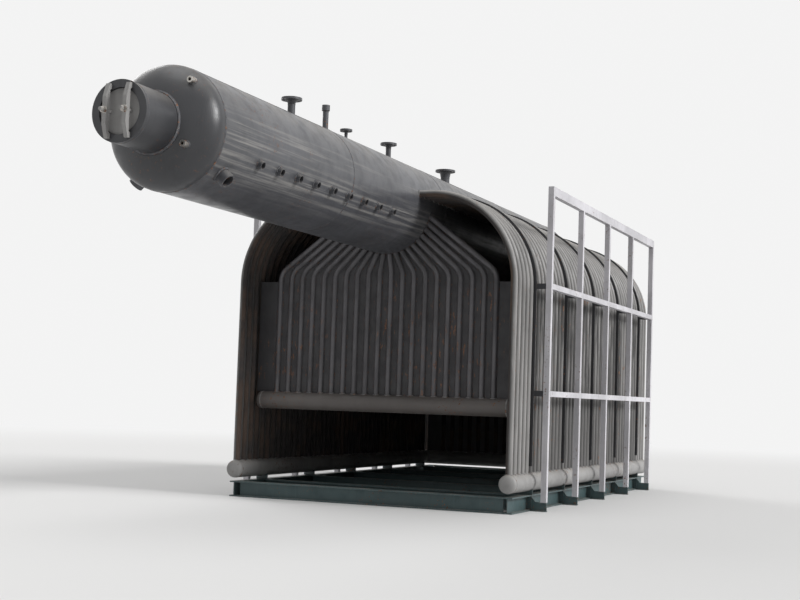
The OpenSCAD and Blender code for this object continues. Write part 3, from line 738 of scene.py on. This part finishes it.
def manhole_welds():
    """Fillet at the neck's root on the head, and the seam between the neck and its seat ring."""
    welds = Welds()
    path, outward = ring(head_x(NECK_R) * X + DRUM_AXIS, NECK_R, Y, Z, 360)
    slope = NECK_R / (2 * DRUM_R) / math.sqrt(1 - (NECK_R / DRUM_R) ** 2)
    welds.fillet(path, -X, unit(outward + slope * X), leg=0.016, closed=True, ripple=EVEN)
    path, outward = ring((NECK_FACE + SEAT_RING_T) * X + DRUM_AXIS, NECK_R, Y, Z, 360)
    welds.butt(path, outward, X, half=0.007, height=0.0016, closed=True, ripple=UNEVEN)
    welds.make("manhole_welds", "drum_paint", drum_weld)


# Each top nozzle's pipe radius, and how far the ring weld of its flange or cap lies below its top
TOP_NOZZLES = {
    "top_nozzle_1": (0.03, 0.052),
    "top_nozzle_2": (0.024, 0.056),
    "top_nozzle_3": (0.0135, 0.045),
    "top_nozzle_4": (0.024, 0.052),
    "main_steam_nozzle": (0.0445, 0.086),
}


def nozzle_welds():
    """Fillets where the nozzles leave the drum, and the ring welds of the top nozzles' flanges."""
    welds = Welds()
    for name, (pipe_r, drop) in TOP_NOZZLES.items():
        x = middle(name).x
        weld_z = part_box(name)[1].z - drop
        drum_fillet(welds, x * X + DRUM_AXIS, Z, pipe_r, leg=0.009, n=144)
        path, outward = ring(x * X + weld_z * Z, pipe_r, X, Y, 96)
        welds.butt(path, outward, Z, half=0.004, height=0.0015, closed=True, ripple=UNEVEN)
    for side in ("left", "right"):
        mount = mounts[f"side_nozzle_{side}"]
        d = unit(np.array(mount["axis"], float))
        drum_fillet(welds, mount["pos_m"][0] * X + DRUM_AXIS, d, SIDE_NOZZLE_R, leg=0.012, n=216)
    welds.make("nozzle_welds", "drum_paint", drum_weld)


def stub_welds():
    """Fillets round the riser stubs and the gauge sockets."""
    welds = Welds()
    for side in ("left", "right"):
        first, second = (mounts[f"riser_stub_{side}_{i}"] for i in (1, 2))
        start = first["pos_m"][0]
        pitch = second["pos_m"][0] - start
        d = unit(np.array(first["axis"], float))
        stubs = round((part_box("riser_stubs")[1].x - STUB_R - start) / pitch) + 1
        for i in range(stubs):
            drum_fillet(welds, (start + i * pitch) * X + DRUM_AXIS, d, STUB_R, leg=0.008, n=120)
    low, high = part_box("gauge_sockets")
    r = (high.y - low.y) / 2
    for z in (high.z - r, low.z + r):
        path, outward = ring(np.array([0, (low.y + high.y) / 2, z]), r, Y, Z, 96)
        across = path[:, 1:] - DRUM_AXIS[1:]
        path[:, 0] = head_x(np.linalg.norm(across, axis=1))
        face = unit(np.column_stack([
            (path[:, 0] - DRUM_FRONT) / HEAD_DEPTH ** 2, across / DRUM_R ** 2,
        ]))
        welds.fillet(path, -X, flatten(outward, face), leg=0.007, closed=True, ripple=PLAIN)
    welds.make("stub_welds", "drum_paint", drum_weld)


def wall_profile(lift, steps=26):
    """The side wall's line on +Y, lifted off the tube centres, and its normals: header to drum."""
    outward = spin(arc(steps, math.pi / 2), Y, Z)
    shoulder = np.array([0, SHOULDER_Y, SHOULDER_Z]) + (SHOULDER_R + lift) * outward
    foot = [0, WALL_Y + lift, BOTTOM_HEADER_Z + HEADER_R]
    top_z = ROOF_Z + lift
    top = [0, math.sqrt(DRUM_R ** 2 - (top_z - DRUM_Z) ** 2), top_z]
    return np.concatenate([[foot], shoulder, [top]]), np.concatenate([[Y], outward, [Z]])


def fin_welds():
    """Thin fillets that join each fin to its tubes, up the side walls and over the shoulders."""
    line, outward = wall_profile(FIN_T / 2)
    beside = math.sqrt(TUBE_R ** 2 - (FIN_T / 2) ** 2)
    for side, sign in (("left", 1), ("right", -1)):
        flip = np.array([1, sign, 1])
        welds = Welds()
        for i, x in enumerate(TUBE_XS):
            for s in (-1, 1):
                past_the_end = (i, s) in ((0, -1), (SIDE_TUBES - 1, 1))
                if not past_the_end:
                    at = line + (x + s * beside) * X
                    welds.fillet(at * flip, outward * flip, s * X, leg=0.005)
        welds.make(f"fin_welds_{side}", "tube_paint", tube_weld)


def end_tube(k):
    """An end wall tube on +Y: its place across, its lean and where it meets the drum."""
    y = (k - 0.5) * TUBE_PITCH
    angle = (k - 0.5) * DRUM_TUBE_PITCH / DRUM_R
    meet = DRUM_R * np.array([0, math.sin(angle), -math.cos(angle)]) + DRUM_AXIS
    lean = math.atan2(y - meet[1], meet[2] - END_BEND_Z)
    return y, lean, meet


def end_tube_line(k, low):
    """Points up the tube's axis from a height: straight, bend, straight. Also the ways across."""
    y, lean, meet = end_tube(k)
    trim = END_BEND_R * math.tan(lean / 2)
    across = spin(arc(7, lean), Y, Z)
    bend = np.array([0, y - END_BEND_R, END_BEND_Z - trim]) + END_BEND_R * across
    line = np.concatenate([[[0, y, low], [0, y, END_FIN_TOP]], bend, [meet]])
    return line, np.concatenate([[Y, Y], across, across[-1:]])


def end_wall_fin_welds():
    """Fillets beside the fins on the end walls' outer faces, and round the tubes on the drum."""
    beside = math.sqrt(END_TUBE_R ** 2 - (FIN_T / 2) ** 2)
    flat_points = 2
    for name, x, out, header_z, material in (
        ("front", FRONT_WALL_X, -1, FRONT_HEADER_Z, shaded_front_weld),
        ("rear", REAR_WALL_X, 1, BOTTOM_HEADER_Z, tube_weld),
    ):
        welds = Welds()
        for k in range(1, END_TUBES_HALF + 1):
            _, lean, meet = end_tube(k)
            line, across = end_tube_line(k, header_z + HEADER_R)
            for sign in (-1, 1):
                flip = np.array([1, sign, 1])
                for s in (-1, 1):
                    at = line + s * beside * across + (x + out * FIN_T / 2) * X
                    n = flat_points if (k, s) == (END_TUBES_HALF, 1) else len(at)
                    welds.fillet(at[:n] * flip, out * X, s * across[:n] * flip, leg=0.0045)
                d = np.array([0, math.sin(lean), -math.cos(lean)]) * flip
                drum_fillet(welds, meet * flip + x * X, d, END_TUBE_R, leg=0.006, n=36)
        welds.make(f"fin_welds_{name}", "tube_paint", material)


def roof_tube_welds():
    """Fillets where the roof tubes meet the drum's shell."""
    welds = Welds()
    for sign in (-1, 1):
        for x in TUBE_XS[:SHELL_TUBES]:
            drum_fillet(welds, np.array([x, 0, ROOF_Z]), sign * Y, TUBE_R, leg=0.007, n=28)
    welds.make("roof_tube_welds", "tube_paint", tube_weld)


def end_path(x):
    """The line of a roof tube's end from its cut into the rear head, on +Y, and its ways."""
    start = np.array([x, CUT_END_Y, ROOF_Z])
    if x + TUBE_R < DRUM_REAR + HEAD_DEPTH:
        straight = 0.15
        return np.array([start, start - straight * Y]), np.array([-Y, -Y])
    bend_y, bend_r, run_in = 0.33, 0.1, 0.07
    angles = arc(17, math.radians(50))
    ways = spin(angles, -Y, -X)
    bend = np.array([x - bend_r, bend_y, ROOF_Z]) + bend_r * spin(angles, X, -Y)
    path = np.concatenate([[start], bend, [bend[-1] + run_in * ways[-1]]])
    return path, np.concatenate([[-Y], ways, ways[-1:]])


def rear_head_fillet(welds, point, d):
    """Adds the fillet round a roof tube that enters the rear head from point, towards d."""
    centre = DRUM_AXIS + DRUM_REAR * X
    scale = 1 / np.array([HEAD_DEPTH, DRUM_R, DRUM_R])
    normal = spin(turn(64), np.cross(d, Z), Z)
    skin = point + TUBE_R * normal
    start = (skin - centre) * scale
    step = d * scale
    b = start @ step / step.dot(step)
    c = ((start ** 2).sum(1) - 1) / step.dot(step)
    path = skin + (-b - np.sqrt(b ** 2 - c))[:, None] * d
    face = unit((path - centre) * scale ** 2)
    welds.fillet(path, -d, flatten(normal, face), leg=0.007, closed=True, ripple=PLAIN)


def roof_tube_ends():
    """The last roof tubes lie behind the drum's shell. Their ends run on into its rear head."""
    ends, welds = Welds(), Welds()
    for sign in (-1, 1):
        flip = np.array([1, sign, 1])
        for x in TUBE_XS[SHELL_TUBES:]:
            path, ways = end_path(x)
            path, ways = path * flip, ways * flip
            rings = np.stack([
                point + (TUBE_R + SKIN) * spin(turn(48), np.cross(way, Z), Z)
                for point, way in zip(path, ways)
            ])
            ends.sweep(rings[:, :-1], path, False, rings[:, -1])
            rear_head_fillet(welds, path[-2], ways[-1])
            seam, outward = ring(path[0], TUBE_R, X, Z, 64)
            welds.butt(seam, outward, Y, half=0.005, height=0.0016, closed=True, ripple=UNEVEN)
    ends.make("roof_tube_ends", "tube_paint", side_tubes)
    welds.make("roof_tube_end_welds", "tube_paint", tube_weld)


def cap_weld(welds, end, e1, axis):
    """Adds the ring weld of the cap at a header's end. e1 and +Z lie across the header's axis."""
    path, outward = ring(end, HEADER_R, e1, Z, 180)
    welds.butt(path, outward, axis, half=0.007, height=0.0018, closed=True, ripple=UNEVEN)


def header_welds():
    """Fillets at the tubes' feet on the headers, and the ring welds of the header caps."""
    welds = Welds()
    for sign in (-1, 1):
        for x in TUBE_XS:
            header_fillet(welds, np.array([x, sign * WALL_Y, BOTTOM_HEADER_Z]), X, TUBE_R, 40)
    for x, z in ((FRONT_WALL_X, FRONT_HEADER_Z), (REAR_WALL_X, BOTTOM_HEADER_Z)):
        for k in range(-END_TUBES_HALF, END_TUBES_HALF):
            header_fillet(welds, np.array([x, (k + 0.5) * TUBE_PITCH, z]), Y, END_TUBE_R, 36)
    for name in ("side_header_left", "side_header_right"):
        low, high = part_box(name)
        for x in (low.x, high.x):
            cap_weld(welds, np.array([x, (low.y + high.y) / 2, BOTTOM_HEADER_Z]), Y, X)
    for y in (header_low.y, header_high.y):
        cap_weld(welds, np.array([FRONT_WALL_X, y, FRONT_HEADER_Z]), X, Y)
    welds.make("header_welds", "pipe_paint", pipe_weld)


def line_between(a, b, step):
    n = max(2, int(np.linalg.norm(np.array(b) - np.array(a)) / step) + 1)
    return np.linspace(a, b, n)


def at_runs(where, run, values):
    """Rows of values at these distances along a line, whose own rows lie at run."""
    return np.column_stack([np.interp(where, run, values[:, c]) for c in range(3)])


def hoop_welds():
    """Stitches along both sides of each hoop's foot, where it stands on the fin."""
    welds = Welds()
    stitch, spacing, step, margin = 0.06, 0.22, 0.006, 0.02
    line, outward = wall_profile(FIN_T / 2 + SKIN, 120)
    run = np.concatenate([[0.0], np.cumsum(np.linalg.norm(np.diff(line, axis=0), axis=1))])
    start = hoop_low.z - line[0][2]
    end = run[-1] - (hoop_low.y - line[-1][1])
    for sign in (1, -1):
        flip = np.array([1, sign, 1])
        for x in HOOP_XS:
            for s in (-1, 1):
                at = start + margin
                while at + stitch < end:
                    where = np.arange(at, at + stitch, step)
                    path = at_runs(where, run, line)
                    up = unit(at_runs(where, run, outward))
                    path[:, 0] = x + s * HOOP_T / 2
                    welds.fillet(path * flip, up * flip, s * X, leg=0.006, ripple=UNEVEN)
                    at += spacing
    welds.make("hoop_welds", "drum_paint", drum_weld)


FRAME_LEG = 0.005
FRAME_STEP = 0.005


def rail_end_welds(welds, face, s, near, far, z):
    """Adds the beads of a rail's end on a post: above, below and on the side of the boiler."""
    half = POST_W / 2
    for v in (-1, 1):
        edge = z + v * half
        path = line_between((face, near, edge), (face, far, edge), FRAME_STEP)
        welds.fillet(path, v * Z, s * X, FRAME_LEG, ripple=PLAIN)
    path = line_between((face, near, z - half), (face, near, z + half), FRAME_STEP)
    inward = -math.copysign(1, near) * Y
    welds.butt(path, inward, X, half=0.004, height=0.0012, ripple=UNEVEN)


def frame_welds():
    """Welds where rails meet posts and posts meet the top rail. Outer faces are ground flush."""
    welds = Welds()
    for sign in (1, -1):
        near, far = sign * POST_INNER, sign * (POST_INNER + POST_W)
        for x in HOOP_XS:
            for s in (-1, 1):
                face = x + s * POST_W / 2
                past_the_rails = abs(face) > HOOP_XS[-1]
                if past_the_rails:
                    continue
                for z in RAIL_ZS:
                    rail_end_welds(welds, face, s, near, far, z)
                path = line_between((face, near, POST_TOP), (face, far, POST_TOP), FRAME_STEP)
                welds.fillet(path, -Z, s * X, FRAME_LEG, ripple=PLAIN)
    welds.make("frame_welds", "frame_paint", frame_weld)


def bracket_welds():
    """Fillets where each stand-off bracket meets its post."""
    welds = Welds()
    half_h, half_t = 0.025, 0.005
    for sign in (1, -1):
        y = sign * POST_INNER
        for x in HOOP_XS:
            for z in RAIL_ZS:
                for s in (-1, 1):
                    face = x + s * half_t
                    path = line_between((face, y, z - half_h), (face, y, z + half_h), FRAME_STEP)
                    welds.fillet(path, -sign * Y, s * X, FRAME_LEG, ripple=UNEVEN)
    welds.make("bracket_welds", "drum_paint", drum_weld)


def base_welds():
    """Seams on the base frame: cross beams, saddles and outriggers, all at the side beams."""
    welds = Welds()
    half_w = BEAM_W / 2
    step, leg = 0.006, 0.006
    saddle_half_t, saddle_reach = 0.008, 0.055
    web_half_t, web_top = 0.006, 0.11
    xs = [beam_low.x + half_w] + HOOP_XS + [beam_high.x - half_w]
    for sign in (1, -1):
        inner, outer = sign * BEAM_INNER, sign * (BEAM_OUTER + SKIN)
        near, far = sign * (WALL_Y - saddle_reach), sign * (WALL_Y + saddle_reach)
        for x in xs:
            path = line_between((x - half_w, inner, BEAM_H), (x + half_w, inner, BEAM_H), step)
            welds.butt(path, Z, Y, half=0.006, height=0.002, ripple=UNEVEN)
        for x in HOOP_XS:
            for s in (-1, 1):
                face = x + s * saddle_half_t
                path = line_between((face, near, BEAM_H), (face, far, BEAM_H), step)
                on_beam = np.abs(np.abs(path[:, 1]) - WALL_Y) < half_w
                welds.fillet(path[on_beam], Z, s * X, leg, ripple=UNEVEN)
                web = x + s * web_half_t
                path = line_between((web, outer, BEAM_FLANGE), (web, outer, web_top), step)
                welds.fillet(path, sign * Y, s * X, leg, ripple=UNEVEN)
    welds.make("base_welds", "base_paint", base_weld)


def lathe(profile, n):
    """A closed ring of the profile, whose points say how far out and how far along they lie."""
    t = turn(n)
    r, h = np.array(profile).T
    return np.stack([np.outer(np.cos(t), r), np.outer(np.sin(t), r), np.tile(h, (n, 1))], -1)


def manhole_hardware():
    """Washers under the nuts and thread ridges on the studs' free ends."""
    nuts_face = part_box("manhole_nuts")[0].x
    stud_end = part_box("manhole_cover")[0].x
    washer = [(0.0135, 0.0), (0.0235, 0.0), (0.0235, 0.0024), (0.0229, 0.003), (0.0135, 0.003)]
    pitch = 0.003
    root, crest = STUD_R - 0.001, STUD_R + 0.0005
    foot, top = 0.45 * pitch, 0.1 * pitch
    ridge = [(root, -foot), (crest, -top), (crest, top), (root, foot)]
    ridges = int((nuts_face - stud_end) / pitch) - 1
    bodies = [(lathe(washer, 96), NECK_FACE - YOKE_H)]
    bodies += [(lathe(ridge, 48), nuts_face - (i + 0.7) * pitch) for i in range(ridges)]
    points, faces = [], []
    count = 0
    for sign in (-1, 1):
        for rings, x in bodies:
            n, m = rings.shape[:2]
            across, up, along = np.moveaxis(rings, -1, 0)
            laid = np.stack([x - along, sign * STUD_Y + across, DRUM_Z + up], -1)
            points.append(laid.reshape(-1, 3))
            for i in range(n):
                a = count + i * m
                b = count + (i + 1) % n * m
                for j in range(m):
                    k = (j + 1) % m
                    faces.append((a + j, a + k, b + k, b + j))
            count += n * m
    mesh = bpy.data.meshes.new("manhole_hardware")
    mesh.from_pydata(np.concatenate(points).tolist(), [], faces)
    finish_piece("manhole_hardware", mesh, turned_steel)


drum_seams()
manhole_welds()
manhole_hardware()
nozzle_welds()
stub_welds()
fin_welds()
end_wall_fin_welds()
roof_tube_welds()
roof_tube_ends()
header_welds()
hoop_welds()
frame_welds()
bracket_welds()
base_welds()


# Stage: floor, light and camera

BACKGROUND = (0.9, 0.9, 0.9)
AMBIENT = 0.26
FLOOR = (0.73, 0.727, 0.722)
FLOOR_R = 90.0
FLOOR_SIDES = 96
FADE_FROM, FADE_TO = 9.0, 22.0


def seen_directly(tree):
    """1 for rays from the camera and for rays that a glossy or clear surface sends on."""
    path = tree.nodes.new("ShaderNodeLightPath")
    total = path.outputs["Is Camera Ray"]
    for name in ("Is Glossy Ray", "Is Transmission Ray"):
        add = tree.nodes.new("ShaderNodeMath")
        add.operation = "MAXIMUM"
        tree.links.new(total, add.inputs[0])
        tree.links.new(path.outputs[name], add.inputs[1])
        total = add.outputs[0]
    return total


def backdrop(tree, kind):
    """A glow of this kind of node: the background where it is seen, and the ambient light."""
    shown = tree.nodes.new(kind)
    shown.inputs["Color"].default_value = (*BACKGROUND, 1)
    lights = tree.nodes.new(kind)
    lights.inputs["Color"].default_value = (1, 1, 1, 1)
    lights.inputs["Strength"].default_value = AMBIENT
    mix = tree.nodes.new("ShaderNodeMixShader")
    tree.links.new(seen_directly(tree), mix.inputs[0])
    tree.links.new(lights.outputs[0], mix.inputs[1])
    tree.links.new(shown.outputs[0], mix.inputs[2])
    return mix.outputs[0]


def set_world():
    world = bpy.data.worlds.new("studio")
    bpy.context.scene.world = world
    world.use_nodes = True
    tree = world.node_tree
    tree.nodes.clear()
    output = tree.nodes.new("ShaderNodeOutputWorld")
    tree.links.new(backdrop(tree, "ShaderNodeBackground"), output.inputs[0])


def set_floor():
    """A pale floor that fades into the background far from the boiler."""
    g = Graph("floor")
    g.plug(g.shader.inputs["Base Color"], (*FLOOR, 1))
    g.plug(g.shader.inputs["Roughness"], 0.85)
    tree = g.tree
    away = g.vector("LENGTH", g.join(g.x, g.y, 0.0))
    mix = tree.nodes.new("ShaderNodeMixShader")
    tree.links.new(g.ramp(away, FADE_FROM, FADE_TO), mix.inputs[0])
    tree.links.new(g.shader.outputs[0], mix.inputs[1])
    tree.links.new(backdrop(tree, "ShaderNodeEmission"), mix.inputs[2])
    output = next(n for n in tree.nodes if n.type == "OUTPUT_MATERIAL")
    tree.links.new(mix.outputs[0], output.inputs["Surface"])
    rim = FLOOR_R * spin(turn(FLOOR_SIDES), X, Y)
    mesh = bpy.data.meshes.new("floor")
    mesh.from_pydata(rim.tolist(), [], [tuple(range(FLOOR_SIDES))])
    floor = bpy.data.objects.new("floor", mesh)
    bpy.context.scene.collection.objects.link(floor)
    mesh.materials.append(g.material)


def soft_sun(name, toward, share, spread):
    """A soft far lamp. share is how much of the full level it gives a white face turned to it."""
    data = bpy.data.lights.new(name, "SUN")
    data.energy = share * math.pi
    data.angle = math.radians(spread)
    lamp = bpy.data.objects.new(name, data)
    bpy.context.scene.collection.objects.link(lamp)
    lamp.location = toward
    lamp.rotation_mode = "QUATERNION"
    lamp.rotation_quaternion = (-Vector(toward)).to_track_quat("-Z", "Y")


# The camera stands where the photograph was taken, turned towards the boiler
EYE = Vector((-13.685, -4.971, 0.929))
AIM = Vector((-2.08, -0.075, 1.843))
ROLL = math.radians(1.95)
LENS = 62.0


def set_camera():
    data = bpy.data.cameras.new("camera")
    data.lens = LENS
    data.sensor_width = 36.0
    data.clip_end = 300.0
    camera = bpy.data.objects.new("camera", data)
    bpy.context.scene.collection.objects.link(camera)
    camera.location = EYE
    camera.rotation_mode = "QUATERNION"
    look = (AIM - EYE).to_track_quat("-Z", "Y")
    camera.rotation_quaternion = look @ Quaternion((0, 0, 1), ROLL)
    bpy.context.scene.camera = camera


set_world()
set_floor()
soft_sun("key", (0.5, -14.0, 8.0), share=0.76, spread=22)
soft_sun("overhead", (-1.0, 1.0, 13.0), share=0.26, spread=50)
soft_sun("back", (9.0, 13.0, 8.0), share=0.25, spread=30)
set_camera()
bpy.context.scene.view_settings.view_transform = "Standard"
